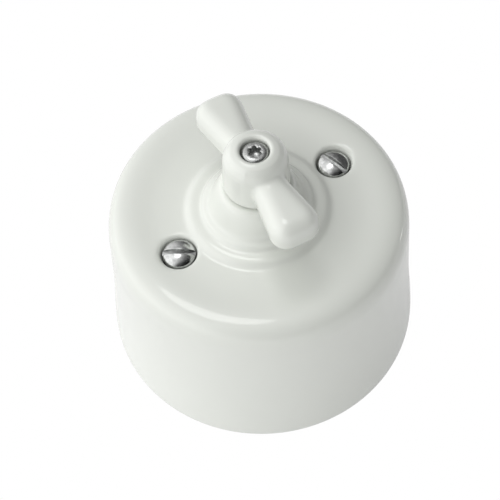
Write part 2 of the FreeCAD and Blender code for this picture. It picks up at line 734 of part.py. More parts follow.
def spindle():
    journal_bottom = BEARING_BORE_BOTTOM + JOURNAL_END_GAP
    groove_bottom = SPINDLE_RADIUS - RETAINING_GROOVE_DEPTH
    ring_top = RING_BOTTOM + RETAINING_RING_THICKNESS
    stem = revolved([
        (0, CAM_TOP),
        (COLLAR_OF_SPINDLE_RADIUS, CAM_TOP),
        (COLLAR_OF_SPINDLE_RADIUS, SPINDLE_COLLAR_TOP),
        (SPINDLE_RADIUS, SPINDLE_COLLAR_TOP),
        (SPINDLE_RADIUS, RING_BOTTOM - THREAD_CLEARANCE),
        (groove_bottom, RING_BOTTOM - THREAD_CLEARANCE),
        (groove_bottom, ring_top + THREAD_CLEARANCE),
        (SPINDLE_RADIUS, ring_top + THREAD_CLEARANCE),
        (SPINDLE_RADIUS, SPINDLE_SHOULDER - SPINDLE_TIP_CHAMFER),
        (SPINDLE_RADIUS - SPINDLE_TIP_CHAMFER, SPINDLE_SHOULDER),
        (0, SPINDLE_SHOULDER),
    ])
    lower_square = square_bar(SPINDLE_SQUARE, DRUM_FOOT, CAM_TOP)
    upper_square = square_bar(SPINDLE_SQUARE, SPINDLE_SHOULDER, SPINDLE_TOP)
    journal = cylinder(LOWER_JOURNAL_RADIUS, journal_bottom, DRUM_FOOT)
    thread_bottom = KNOB_SCREW_SEAT - KNOB_SCREW_LENGTH - KNOB_SCREW_RUNOUT
    thread = cylinder(KNOB_SCREW_RADIUS + THREAD_CLEARANCE, thread_bottom, SPINDLE_TOP)
    return joined([stem, lower_square, upper_square, journal]).cut(thread)


def drive_hole(bottom, top):
    return square_bar(SPINDLE_SQUARE + 2 * DRIVE_CLEARANCE, bottom, top)


def segment_arc(inner, outer, bottom, top, span):
    block = ring(inner, outer, bottom, top)
    half = math.radians(span / 2)
    reach = 2 * outer
    side = reach * math.sin(half)
    along = reach * math.cos(half)
    wedge = extruded([(0, 0), (side, along), (side, reach), (-side, reach), (-side, along)], bottom, top)
    return block.common(wedge)


def contact_drum():
    body = revolved([
        (0, DRUM_FOOT),
        (DRUM_FOOT_RADIUS, DRUM_FOOT),
        (DRUM_FOOT_RADIUS, DRUM_BOTTOM),
        (DRUM_RADIUS, DRUM_BOTTOM, SOFT_EDGE),
        (DRUM_RADIUS, DRUM_TOP, SOFT_EDGE),
        (DRUM_HUB_RADIUS, DRUM_TOP),
        (DRUM_HUB_RADIUS, CAM_BOTTOM),
        (0, CAM_BOTTOM),
    ])
    groove = segment_arc(
        DRUM_RADIUS - SEGMENT_THICKNESS - THREAD_CLEARANCE,
        DRUM_RADIUS + CUT_PAST,
        DRUM_MIDDLE - SEGMENT_WIDTH / 2 - THREAD_CLEARANCE,
        DRUM_MIDDLE + SEGMENT_WIDTH / 2 + THREAD_CLEARANCE,
        SEGMENT_SPAN + SEGMENT_END_PLAY,
    )
    return cut(body, on_both_sides(groove) + [drive_hole(DRUM_FOOT, CAM_BOTTOM)])


def contact_segment():
    return segment_arc(
        DRUM_RADIUS - SEGMENT_THICKNESS,
        DRUM_RADIUS,
        DRUM_MIDDLE - SEGMENT_WIDTH / 2,
        DRUM_MIDDLE + SEGMENT_WIDTH / 2,
        SEGMENT_SPAN,
    )


def detent_cam():
    block = square_bar(CAM_ACROSS_FLATS, CAM_BOTTOM, CAM_TOP, CAM_CORNER_ROUNDING)
    return block.cut(drive_hole(CAM_BOTTOM, CAM_TOP))


def spring_bottom():
    return CAM_BOTTOM + (CAM_HEIGHT - SPRING_WIDTH) / 2


def detent_spring():
    reach = BRIDGE_LEG_OFFSET + BRIDGE_THICKNESS / 2 + SPRING_OVERHANG
    middle = SPRING_FACE + SPRING_THICKNESS / 2
    bottom = spring_bottom()
    return box(SPRING_THICKNESS, 2 * reach, bottom, bottom + SPRING_WIDTH, middle)


def thrust_washer():
    inner = SPINDLE_RADIUS + THREAD_CLEARANCE
    return ring(inner, THRUST_WASHER_RADIUS, BUSH_TOP, BUSH_TOP + THRUST_WASHER_THICKNESS)


def retaining_ring():
    # An open ring that is pushed into the groove from the side.
    top = RING_BOTTOM + RETAINING_RING_THICKNESS
    groove_radius = SPINDLE_RADIUS - RETAINING_GROOVE_DEPTH + THREAD_CLEARANCE
    whole = ring(groove_radius, RETAINING_RING_RADIUS, RING_BOTTOM, top)
    length = 2 * RETAINING_RING_RADIUS
    mouth = box(RETAINING_RING_MOUTH, length, RING_BOTTOM, top, 0, -RETAINING_RING_RADIUS)
    return whole.cut(mouth)


def terminal_block():
    length = BLOCK_LENGTH
    block = box(length, BLOCK_WIDTH, BLOCK_BOTTOM, BLOCK_TOP, TERMINAL_OFFSET)
    top_edges = [edge for edge in block.Edges if edge.BoundBox.ZMin > BLOCK_TOP - TOUCH]
    block = block.makeChamfer(BLOCK_CHAMFER, top_edges)
    wire_level = BLOCK_BOTTOM + WIRE_HOLE_HEIGHT
    outer_face = TERMINAL_OFFSET + length / 2
    wire_hole = Part.makeCylinder(
        WIRE_HOLE_RADIUS, WIRE_HOLE_DEPTH, vector(outer_face, 0, wire_level), vector(-1, 0, 0)
    )
    finger_level = BLOCK_TOP - FINGER_SCREW_DROP
    finger_hole = Part.makeCylinder(
        FINGER_SCREW_RADIUS + THREAD_CLEARANCE,
        FINGER_SCREW_LENGTH - FINGER_THICKNESS + THREAD_CLEARANCE,
        vector(BLOCK_INNER_FACE, 0, finger_level),
        vector(1, 0, 0),
    )
    screw_hole = cylinder(TERMINAL_SCREW_RADIUS + THREAD_CLEARANCE, wire_level, BLOCK_TOP, TERMINAL_OFFSET)
    foot_hole = cylinder(
        BLOCK_SCREW_RADIUS + THREAD_CLEARANCE,
        BLOCK_BOTTOM,
        BLOCK_BOTTOM + BLOCK_SCREW_GRIP + THREAD_CLEARANCE,
        TERMINAL_OFFSET,
    )
    return cut(block, [wire_hole, finger_hole, screw_hole, foot_hole])


def contact_finger():
    # Hangs on the block's inner face, runs in under the drum's side and rises to press on it.
    hang = BLOCK_INNER_FACE - FINGER_THICKNESS / 2
    arm_level = PLUG_HEIGHT + FINGER_ARM_HEIGHT
    path = [
        (hang, BLOCK_TOP - 2 * BLOCK_CHAMFER),
        (hang, arm_level),
        (FINGER_CONTACT + FINGER_ARM_REACH, arm_level),
        (FINGER_CONTACT, DRUM_MIDDLE),
        (FINGER_CONTACT + FINGER_TIP_FLARE, DRUM_MIDDLE + FINGER_TIP_RISE),
    ]
    strip = bent_strip(path, FINGER_THICKNESS, FINGER_WIDTH, FINGER_BEND_RADIUS)
    hole = Part.makeCylinder(
        FINGER_SCREW_RADIUS + THREAD_CLEARANCE,
        3 * FINGER_THICKNESS,
        vector(BLOCK_INNER_FACE - 2 * FINGER_THICKNESS, 0, BLOCK_TOP - FINGER_SCREW_DROP),
        vector(1, 0, 0),
    )
    return strip.cut(hole)


def at_each_terminal(shape):
    return [turned(shape, angle) for angle in terminal_angles()]


def terminal_screws():
    one = small_screw(
        TERMINAL_SCREW_HEAD_RADIUS,
        TERMINAL_SCREW_HEAD_HEIGHT,
        TERMINAL_SCREW_RADIUS,
        TERMINAL_SCREW_LENGTH,
    )
    return Part.makeCompound(at_each_terminal(moved(one, TERMINAL_OFFSET, 0, BLOCK_TOP)))


def finger_screws():
    one = small_screw(
        FINGER_SCREW_HEAD_RADIUS,
        FINGER_SCREW_HEAD_HEIGHT,
        FINGER_SCREW_RADIUS,
        FINGER_SCREW_LENGTH,
    )
    one.rotate(CENTRE, vector(0, 1, 0), -90)
    seat = BLOCK_INNER_FACE - FINGER_THICKNESS
    return Part.makeCompound(at_each_terminal(moved(one, seat, 0, BLOCK_TOP - FINGER_SCREW_DROP)))


def block_screws():
    length = BLOCK_BOTTOM - BACK_RECESS_DEPTH + BLOCK_SCREW_GRIP
    one = small_screw(BLOCK_SCREW_HEAD_RADIUS, BLOCK_SCREW_HEAD_HEIGHT, BLOCK_SCREW_RADIUS, length)
    one = moved(pointing_down(one), TERMINAL_OFFSET, 0, BACK_RECESS_DEPTH)
    return Part.makeCompound(at_each_terminal(one))


def knob_wing():
    # Seen from above, the wing widens from its neck to a blunt, rounded end.
    outline = rounded_outline([
        (-WING_NECK_HALF_WIDTH, 0),
        (-WING_NECK_HALF_WIDTH, WING_NECK_OFFSET),
        (-WING_END_HALF_WIDTH, WING_REACH, WING_END_ROUNDING),
        (WING_END_HALF_WIDTH, WING_REACH, WING_END_ROUNDING),
        (WING_NECK_HALF_WIDTH, WING_NECK_OFFSET),
        (WING_NECK_HALF_WIDTH, 0),
    ], in_plan)
    bottom = KNOB_BOTTOM + WING_LIFT
    face = Part.Face(outline)
    face.translate(vector(0, 0, bottom))
    wing = face.extrude(vector(0, 0, WING_HEIGHT))
    wing = wing.makeFillet(WING_TOP_ROUNDING, level_edges(wing, bottom + WING_HEIGHT))
    return wing.makeFillet(WING_UNDER_ROUNDING, level_edges(wing, bottom))


def level_edges(shape, height):
    # The edges at one height, apart from the one that is hidden in the hub.
    edges = []
    for edge in shape.Edges:
        limits = edge.BoundBox
        if abs(limits.ZMax - height) + abs(limits.ZMin - height) < TOUCH and limits.YMax > TOUCH:
            edges.append(edge)
    return edges


def root_edges(body, hub, wings):
    # The edges along which the wings run into the hub.
    edges = []
    for wing in wings:
        seam = hub.section(wing)
        for edge in body.Edges:
            middle = Part.Vertex(edge.valueAt((edge.FirstParameter + edge.LastParameter) / 2))
            if middle.distToShape(seam)[0] < TOUCH:
                edges.append(edge)
    return edges


def knob():
    hub = revolved([
        (0, KNOB_BOTTOM),
        (HUB_FOOT_RADIUS, KNOB_BOTTOM, HUB_FOOT_ROUNDING),
        (HUB_RADIUS, KNOB_TOP, HUB_SHOULDER_ROUNDING),
        (0, KNOB_TOP),
    ])
    wings = on_both_sides(turned(knob_wing(), WING_TURN))
    body = joined([hub] + wings)
    body = body.makeFillet(WING_ROOT_FILLET, root_edges(body, hub, wings))
    spindle_socket = cylinder(SPINDLE_RADIUS + DRIVE_CLEARANCE, KNOB_BOTTOM, SPINDLE_SHOULDER)
    recess = revolved([
        (0, KNOB_SCREW_SEAT),
        (KNOB_RECESS_RADIUS, KNOB_SCREW_SEAT),
        (KNOB_RECESS_RADIUS, KNOB_TOP - KNOB_RECESS_ROUNDING, KNOB_RECESS_ROUNDING),
        (KNOB_RECESS_RADIUS + KNOB_RECESS_ROUNDING, KNOB_TOP),
        (KNOB_RECESS_RADIUS + KNOB_RECESS_ROUNDING, KNOB_TOP + CUT_PAST),
        (0, KNOB_TOP + CUT_PAST),
    ])
    screw_hole = cylinder(KNOB_SCREW_RADIUS + SCREW_HOLE_CLEARANCE, SPINDLE_TOP, KNOB_SCREW_SEAT)
    square_socket = drive_hole(SPINDLE_SHOULDER, SPINDLE_TOP)
    return cut(body, [spindle_socket, square_socket, recess, screw_hole])


def knob_screw():
    whole = screw(
        KNOB_SCREW_HEAD_RADIUS,
        KNOB_SCREW_HEAD_EDGE,
        KNOB_SCREW_HEAD_DOME,
        KNOB_SCREW_RADIUS,
        KNOB_SCREW_LENGTH,
    )
    head_top = KNOB_SCREW_HEAD_EDGE + KNOB_SCREW_HEAD_DOME
    floor = head_top - KNOB_SCREW_DRIVE_DEPTH
    tools = [cylinder(KNOB_SCREW_DRIVE_RADIUS, floor, head_top + CUT_PAST)]
    for i in range(KNOB_SCREW_LOBES):
        angle = 2 * math.pi * i / KNOB_SCREW_LOBES
        x = KNOB_SCREW_DRIVE_RADIUS * math.cos(angle)
        y = KNOB_SCREW_DRIVE_RADIUS * math.sin(angle)
        tools.append(cylinder(KNOB_SCREW_LOBE_RADIUS, floor, head_top + CUT_PAST, x, y))
    return moved(cut(whole, tools), 0, 0, KNOB_SCREW_SEAT)


def pieces():
    shapes = {
        "base": base(),
        "cover": cover(),
        "cover_screws": cover_screws(),
        "cover_screw_washers": cover_screw_washers(),
        "post_screws": post_screws(),
        "bearing_bridge": bearing_bridge(),
        "bridge_screws": bridge_screws(),
        "bridge_nuts": bridge_nuts(),
        "bearing_bush": bearing_bush(),
        "lower_bearing": lower_bearing(),
        "terminal_screws": terminal_screws(),
        "finger_screws": finger_screws(),
        "block_screws": block_screws(),
        "spindle": spindle(),
        "contact_drum": contact_drum(),
        "detent_cam": detent_cam(),
        "thrust_washer": thrust_washer(),
        "retaining_ring": retaining_ring(),
        "knob": knob(),
        "knob_screw": knob_screw(),
    }
    post = moved(cover_post(), COVER_SCREW_OFFSET, 0, 0)
    for i, shape in enumerate(on_both_sides(post)):
        shapes["cover_post_" + str(i + 1)] = shape
    for name, shape in zip(("right", "left"), on_both_sides(detent_spring())):
        shapes["detent_spring_" + name] = shape
    for i, shape in enumerate(on_both_sides(contact_segment())):
        shapes["contact_segment_" + str(i + 1)] = shape
    for i, shape in enumerate(at_each_terminal(terminal_block())):
        shapes["terminal_block_" + str(i + 1)] = shape
    for i, shape in enumerate(at_each_terminal(contact_finger())):
        shapes["contact_finger_" + str(i + 1)] = shape
    return shapes


def write(shapes):
    os.makedirs("parts", exist_ok=True)
    for name, shape in shapes.items():
        shape.exportStep("parts/" + name + ".step")


write(pieces())
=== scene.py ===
import json
import math

import bpy
from mathutils import Matrix, Vector


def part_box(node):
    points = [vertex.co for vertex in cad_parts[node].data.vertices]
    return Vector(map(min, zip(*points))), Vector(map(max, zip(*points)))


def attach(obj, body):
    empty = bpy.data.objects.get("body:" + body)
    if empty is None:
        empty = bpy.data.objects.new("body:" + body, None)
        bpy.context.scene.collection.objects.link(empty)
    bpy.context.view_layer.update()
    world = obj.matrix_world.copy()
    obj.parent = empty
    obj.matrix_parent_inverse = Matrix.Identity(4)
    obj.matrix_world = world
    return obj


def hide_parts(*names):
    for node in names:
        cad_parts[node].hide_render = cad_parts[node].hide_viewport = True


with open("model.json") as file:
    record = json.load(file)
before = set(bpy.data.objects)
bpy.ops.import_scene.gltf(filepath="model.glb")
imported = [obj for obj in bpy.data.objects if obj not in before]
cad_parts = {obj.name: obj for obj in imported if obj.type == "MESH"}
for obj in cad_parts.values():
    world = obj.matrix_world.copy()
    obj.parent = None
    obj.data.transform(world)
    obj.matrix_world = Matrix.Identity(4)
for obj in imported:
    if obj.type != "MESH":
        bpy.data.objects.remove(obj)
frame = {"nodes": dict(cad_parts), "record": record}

bl_info = {
    "name": "Porcelain rotary switch",
    "version": (1, 0, 0),
    "blender": (4, 5, 0),
    "location": "3D View > Sidebar > Switch",
    "description": "Dresses the packed model of a porcelain rotary switch in glaze and metal",
    "category": "Object",
}

MM = 0.001
NEAR = 0.01 * MM
COVER_LOW, COVER_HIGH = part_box("cover")
KNOB_LOW, KNOB_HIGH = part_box("knob")
SCREWS_LOW, SCREWS_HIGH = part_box("cover_screws")
KNOB_SCREW_LOW, KNOB_SCREW_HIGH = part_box("knob_screw")
WASHERS_LOW, WASHERS_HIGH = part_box("cover_screw_washers")
POST_LOW, POST_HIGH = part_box("cover_post_1")
SPINDLE_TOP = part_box("spindle")[1].z

PORCELAIN_SEGMENTS = 64
SMALL_SEGMENTS = 48
FINE_SEGMENTS = 16
SCREW_OFFSET = (POST_LOW.x + POST_HIGH.x) / 2
FACE_DROP_FROM_BOSS = 9.5 * MM
FACE_HEIGHT = COVER_HIGH.z - FACE_DROP_FROM_BOSS

# Sizes that the pieces' rings and cuts share

PAD_RADIUS = 5.2 * MM
COVER_HOLE_RADIUS = 2.3 * MM
KNOB_BORE_RADIUS = 1.8 * MM
SOCKET_MOUTH_RADIUS = 3.05 * MM
SOCKET_MOUTH_DEPTH = 1.9 * MM
SOCKET_SQUARE = 4.3 * MM
WING_ROOT = 3.5 * MM
WING_NECK_END = 4.1 * MM
WING_LIFT = 0.5 * MM
WING_TOP_ROUNDING = 3.3 * MM
WING_LOW_ROUNDING = 2.6 * MM
ROOT_SPREAD = math.radians(46)
COVER_SCREW_RADIUS = 1.9 * MM
SLOT_WIDTH = 1.25 * MM
SLOT_DEPTH = 1.3 * MM
SLOT_LENGTH = 10 * MM
KNOB_SCREW_RADIUS = 1.4 * MM
KNOB_SCREW_HEAD_GROWTH = 0.3 * MM
LOBES = 6
LOBE_PLACE = 1.15 * MM


def length_property(name, description, default):
    return bpy.props.FloatProperty(
        name=name,
        description=description,
        default=default,
        unit="LENGTH",
        subtype="DISTANCE",
        precision=5,
    )


def colour_property(name, description, default):
    return bpy.props.FloatVectorProperty(
        name=name,
        description=description,
        default=default,
        size=3,
        min=0.0,
        max=1.0,
        subtype="COLOR",
    )


def share_property(name, description, default):
    return bpy.props.FloatProperty(
        name=name, description=description, default=default, min=0.0, max=1.0, subtype="FACTOR"
    )


class SwitchCoverSizes(bpy.types.PropertyGroup):
    foot_radius: length_property(
        "Foot radius", "Radius of the cover at its lower lip", COVER_HIGH.x
    )
    waist_radius: length_property("Waist radius", "Radius where the wall is drawn in", 35.0 * MM)
    rim_radius: length_property("Rim radius", "Widest radius of the rim under the face", 34.8 * MM)
    wall: length_property("Wall", "Thickness of the side wall at the waist", 5.4 * MM)
    top: length_property("Top", "Thickness of the face", 4.5 * MM)
    counterbore_radius: length_property(
        "Counterbore radius", "Radius of the recess round a screw", 4.05 * MM
    )
    mouth_softness: length_property(
        "Mouth softness", "How far the glaze rounds the recess's mouth", 0.8 * MM
    )


class SwitchKnobSizes(bpy.types.PropertyGroup):
    hub_radius: length_property("Hub radius", "Radius of the round hub", 7.05 * MM)
    skirt: length_property("Skirt", "How far the hub reaches down round the boss's top", 1.0 * MM)
    recess_radius: length_property("Recess radius", "Radius of the screw's recess", 3.25 * MM)
    recess_depth: length_property("Recess depth", "Depth of the screw's recess", 2.5 * MM)
    wing_reach: length_property(
        "Wing reach", "How far a wing goes from the middle", KNOB_HIGH.y + 0.5 * MM
    )
    wing_neck: length_property("Wing neck", "Half width of a wing beside the hub", 3.6 * MM)
    wing_end: length_property("Wing end", "Half width of a wing near its end", 6.2 * MM)
    wing_height: length_property(
        "Wing height", "Thickness of a wing from its underside to its top", 7.6 * MM
    )
    wing_corner: length_property(
        "Wing corner", "Rounding of a wing's end, seen from above", 4.5 * MM
    )
    root_softness: bpy.props.IntProperty(
        name="Root softness",
        description="How often the corners beside the hub are smoothed",
        default=60,
    )
    wing_turn: bpy.props.FloatProperty(
        name="Wing turn",
        description="Angle of the wings from the line across the screws",
        default=math.radians(-6.0),
        unit="ROTATION",
        subtype="ANGLE",
    )
    detail: length_property("Detail", "Size of the mesh's faces", 0.2 * MM)


class SwitchColours(bpy.types.PropertyGroup):
    glaze: colour_property("Glaze", "Warm white of the glazed porcelain", (0.80, 0.822, 0.77))
    glaze_thin: colour_property("Thin glaze", "Tone where the glaze is thin", (0.77, 0.792, 0.742))
    bisque: colour_property("Bisque", "Unglazed porcelain under the foot", (0.74, 0.70, 0.63))
    plating: colour_property("Plating", "Bright plating of the cover screws", (0.74, 0.75, 0.74))
    dark_steel: colour_property("Dark steel", "Darkened steel of the knob screw", (0.6, 0.61, 0.6))
    brass: colour_property("Brass", "Machined brass", (0.76, 0.56, 0.26))
    bronze: colour_property("Bronze", "Rolled bronze strip", (0.66, 0.38, 0.22))
    # Near black partly for the washers' own dark fibre and partly as painted shade, so the ring
    # round each cover screw head reads as dark as the shaded gap.
    fibre: colour_property("Fibre", "Dark fibre washers", (0.018, 0.017, 0.016))


class SwitchStudio(bpy.types.PropertyGroup):
    floor_size: length_property("Floor", "Side of the square floor", 3.0)
    lamp_power: bpy.props.FloatProperty(
        name="Lamp power", description="Power of the lamp above the switch in watts", default=0.25
    )
    window: bpy.props.FloatProperty(
        name="Window", description="Strength of the room's light on its bright side", default=1.36
    )
    front: bpy.props.FloatProperty(
        name="Front",
        description="Strength of the weak light that comes from the camera's side",
        default=0.32,
    )
    everywhere: bpy.props.FloatProperty(
        name="Everywhere", description="Strength of the room's light on its dark side", default=0.1
    )
    mirrored_floor: share_property(
        "Mirrored floor", "How white the floor looks in the glaze and metal", 0.5
    )
    mirrored_room: share_property("Mirrored room", "How dark the room in front looks in them", 0.9)


def settings():
    scene = bpy.context.scene
    return scene.switch_cover, scene.switch_knob, scene.switch_colours, scene.switch_studio


# Modelling steps that several pieces share


def object_mode():
    if bpy.context.object and bpy.context.object.mode != "OBJECT":
        bpy.ops.object.mode_set(mode="OBJECT")


def deselect():
    object_mode()
    bpy.ops.object.select_all(action="DESELECT")


def choose(piece):
    deselect()
    piece.select_set(True)
    bpy.context.view_layer.objects.active = piece


def name_piece(piece, name):
    piece.name = name
    piece.data.name = name
    return piece


def apply_place(piece):
    choose(piece)
    bpy.ops.object.transform_apply(location=True, rotation=True, scale=True)


def finish_with(piece, kind, **values):
    choose(piece)
    bpy.ops.object.modifier_add(type=kind)
    modifier = piece.modifiers[-1]
    for key, value in values.items():
        setattr(modifier, key, value)
    bpy.ops.object.modifier_apply(modifier=modifier.name)


def turned(name, rings, segments, closed=False, capped=False):
    # Starts from a circle and draws it on ring by ring, each ring given as (radius, height).
    deselect()
    radius, height = rings[0]
    bpy.ops.mesh.primitive_circle_add(
        vertices=segments,
        radius=radius,
        fill_type="NGON" if capped else "NOTHING",
        location=(0, 0, height),
    )
    piece = name_piece(bpy.context.object, name)
    apply_place(piece)
    bpy.ops.object.mode_set(mode="EDIT")
    bpy.ops.mesh.select_mode(type="EDGE")
    bpy.ops.mesh.select_all(action="SELECT")
    for next_radius, next_height in rings[1:]:
        bpy.ops.mesh.extrude_edges_move(
            TRANSFORM_OT_translate={"value": (0, 0, next_height - height)}
        )
        factor = next_radius / radius
        bpy.ops.transform.resize(value=(factor, factor, 1), center_override=(0, 0, next_height))
        radius, height = next_radius, next_height
    if capped:
        bpy.ops.mesh.edge_face_add()
    bpy.ops.mesh.select_all(action="SELECT")
    if closed:
        bpy.ops.mesh.remove_doubles(threshold=0.002 * MM)
    bpy.ops.mesh.normals_make_consistent(inside=False)
    bpy.ops.object.mode_set(mode="OBJECT")
    return piece


def combine(piece, other, operation):
    finish_with(piece, "BOOLEAN", operation=operation, object=other, solver="EXACT")
    bpy.data.objects.remove(other)
    if not piece.data.polygons:
        raise RuntimeError(piece.name + " has no faces left after it was combined")


def join(piece, other):
    choose(piece)
    other.select_set(True)
    bpy.ops.object.join()


def shift(piece, place):
    piece.location = place
    apply_place(piece)


def smooth_shading(piece, degrees=None):
    choose(piece)
    if degrees is None:
        bpy.ops.object.shade_smooth()
    else:
        bpy.ops.object.shade_smooth_by_angle(angle=math.radians(degrees))


def select_nothing(piece, kind):
    choose(piece)
    bpy.ops.object.mode_set(mode="EDIT")
    bpy.ops.mesh.select_mode(type=kind)
    bpy.ops.mesh.select_all(action="DESELECT")
    bpy.ops.object.mode_set(mode="OBJECT")


def select_points(piece, wanted):
    select_nothing(piece, "VERT")
    for vertex in piece.data.vertices:
        vertex.select = wanted(vertex.co)
    bpy.ops.object.mode_set(mode="EDIT")


def select_edges(piece, wanted):
    select_nothing(piece, "EDGE")
    for edge in piece.data.edges:
        edge.select = wanted([piece.data.vertices[i].co for i in edge.vertices])
    bpy.ops.object.mode_set(mode="EDIT")


def dress(piece, material, body, slot, *replaced):
    piece.data.materials.clear()
    piece.data.materials.append(material)
    if replaced:
        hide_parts(*replaced)
    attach(piece, body)


def in_mm(*pairs):
    return [(radius * MM, height * MM) for radius, height in pairs]


# Nodes that several materials share


class Graph:
    """A node tree, and short calls that add the usual nodes."""

    def __init__(self, tree):
        self.nodes = tree.nodes
        self.links = tree.links

    def ranged(self, source, low, high, out_low, out_high, easing="LINEAR"):
        node = self.nodes.new("ShaderNodeMapRange")
        node.interpolation_type = easing
        names = ("From Min", "From Max", "To Min", "To Max")
        for name, value in zip(names, (low, high, out_low, out_high)):
            node.inputs[name].default_value = value
        self.links.new(source, node.inputs["Value"])
        return node.outputs["Result"]

    def maths(self, operation, first, second):
        node = self.nodes.new("ShaderNodeMath")
        node.operation = operation
        for socket, value in zip(node.inputs, (first, second)):
            if isinstance(value, (int, float)):
                socket.default_value = value
            else:
                self.links.new(value, socket)
        return node.outputs[0]

    def ray_is(self, *kinds):
        # 1 for a ray of any of the kinds named, and 0 for the others.
        rays = self.nodes.new("ShaderNodeLightPath")
        share = rays.outputs["Is " + kinds[0] + " Ray"]
        for kind in kinds[1:]:
            share = self.maths("MAXIMUM", share, rays.outputs["Is " + kind + " Ray"])
        return share


class Recipe(Graph):
    """A node material with its principled shader, whose patterns lie on the piece itself."""

    def __init__(self, name):
        self.material = bpy.data.materials.new(name)
        self.material.use_nodes = True
        super().__init__(self.material.node_tree)
        self.shader = self.nodes["Principled BSDF"]
        self.place = self.nodes.new("ShaderNodeTexCoord").outputs["Object"]

    def set(self, **values):
        for name, value in values.items():
            self.shader.inputs[name.replace("_", " ")].default_value = value

    def feed(self, source, name):
        self.links.new(source, self.shader.inputs[name])

    def mapped(self, location=(0, 0, 0), rotation=(0, 0, 0), scale=(1, 1, 1)):
        node = self.nodes.new("ShaderNodeMapping")
        node.inputs["Location"].default_value = location
        node.inputs["Rotation"].default_value = rotation
        node.inputs["Scale"].default_value = scale
        self.links.new(self.place, node.inputs["Vector"])
        return node.outputs["Vector"]

    def noise(self, size, detail=3.0, roughness=0.5, place=None):
        node = self.nodes.new("ShaderNodeTexNoise")
        node.inputs["Scale"].default_value = 1 / size
        node.inputs["Detail"].default_value = detail
        node.inputs["Roughness"].default_value = roughness
        self.links.new(place or self.place, node.inputs["Vector"])
        return node.outputs["Fac"]

    def cells(self, size):
        node = self.nodes.new("ShaderNodeTexVoronoi")
        node.inputs["Scale"].default_value = 1 / size
        self.links.new(self.place, node.inputs["Vector"])
        return node.outputs["Distance"]

    def rings(self, spacing, place, distortion=0.0):
        node = self.nodes.new("ShaderNodeTexWave")
        node.wave_type = "RINGS"
        node.rings_direction = "Z"
        node.inputs["Scale"].default_value = math.pi / 10 / spacing
        node.inputs["Distortion"].default_value = distortion
        self.links.new(place, node.inputs["Vector"])
        return node.outputs["Fac"]

    def mixed(self, share, first, second):
        node = self.nodes.new("ShaderNodeMix")
        node.data_type = "RGBA"
        for number, value in ((0, share), (6, first), (7, second)):
            socket = node.inputs[number]
            if isinstance(value, (int, float)):
                socket.default_value = value
            elif isinstance(value, bpy.types.NodeSocket):
                self.links.new(value, socket)
            else:
                socket.default_value = (*value, 1)
        return node.outputs[2]

    def bump(self, height, depth, strength=1.0, below=None):
        node = self.nodes.new("ShaderNodeBump")
        node.inputs["Distance"].default_value = depth
        node.inputs["Strength"].default_value = strength
        self.links.new(height, node.inputs["Height"])
        if below:
            self.links.new(below, node.inputs["Normal"])
        return node.outputs["Normal"]

    def axis(self, letter):
        node = self.nodes.new("ShaderNodeSeparateXYZ")
        self.links.new(self.place, node.inputs["Vector"])
        return node.outputs[letter]


def scaled(colour, share):
    return [share * part for part in colour]


def porcelain(name, foot_height=None):
    # Thick clear glaze over white clay, with faint clouding and a fine orange peel.
    colours = settings()[2]
    recipe = Recipe(name)
    recipe.set(IOR=1.5, Coat_Weight=0.8, Coat_Roughness=0.06)
    clouds = recipe.noise(34 * MM, 3.0, 0.5)
    colour = recipe.mixed(clouds, colours.glaze, colours.glaze_thin)
    sheen = recipe.ranged(recipe.noise(19 * MM, 3.0), 0.0, 1.0, 0.29, 0.36)
    orange_peel = recipe.bump(recipe.noise(1.2 * MM, 1.0, 0.5), 0.003 * MM, 0.3)
    if foot_height is not None:
        bare = recipe.ranged(recipe.axis("Z"), foot_height, foot_height + 0.25 * MM, 1.0, 0.0)
        grit = recipe.noise(0.35 * MM, 3.0, 0.7)
        bisque = recipe.mixed(grit, colours.bisque, scaled(colours.bisque, 0.9))
        colour = recipe.mixed(bare, colour, bisque)
        sheen = recipe.maths("MAXIMUM", sheen, recipe.maths("MULTIPLY", bare, 0.8))
    recipe.feed(colour, "Base Color")
    recipe.feed(sheen, "Roughness")
    recipe.feed(orange_peel, "Normal")
    return recipe.material


def turned_metal(
    name, colour, centre=(0, 0, 0), spacing=0.09 * MM, roughness=(0.16, 0.34), grime=0.5
):
    # Metal faced on a lathe: fine rings about its middle, scratches, and dirt where it is worn.
    recipe = Recipe(name)
    recipe.set(Metallic=1.0)
    middle = recipe.mapped(location=scaled(centre, -1))
    marks = recipe.rings(spacing, middle, 0.6)
    scratch_place = recipe.mapped(rotation=(0.4, 0.2, 0.9), scale=(14, 1, 1))
    scratches = recipe.noise(1.6 * MM, 5.0, 0.7, scratch_place)
    patches = recipe.ranged(recipe.noise(1.5 * MM, 4.0, 0.6), 0.42, 0.68, 0.0, 1.0)
    dirt = recipe.maths("MULTIPLY", patches, grime)
    tone = recipe.mixed(recipe.ranged(scratches, 0.3, 0.7, 0.0, 1.0), colour, scaled(colour, 0.8))
    recipe.feed(recipe.mixed(dirt, tone, scaled(colour, 0.22)), "Base Color")
    low, high = roughness
    recipe.feed(recipe.ranged(recipe.noise(0.8 * MM, 4.0, 0.65), 0.3, 0.7, low, high), "Roughness")
    ringed = recipe.bump(marks, 0.004 * MM, 0.35)
    recipe.feed(recipe.bump(scratches, 0.01 * MM, 0.3, ringed), "Normal")
    return recipe.material


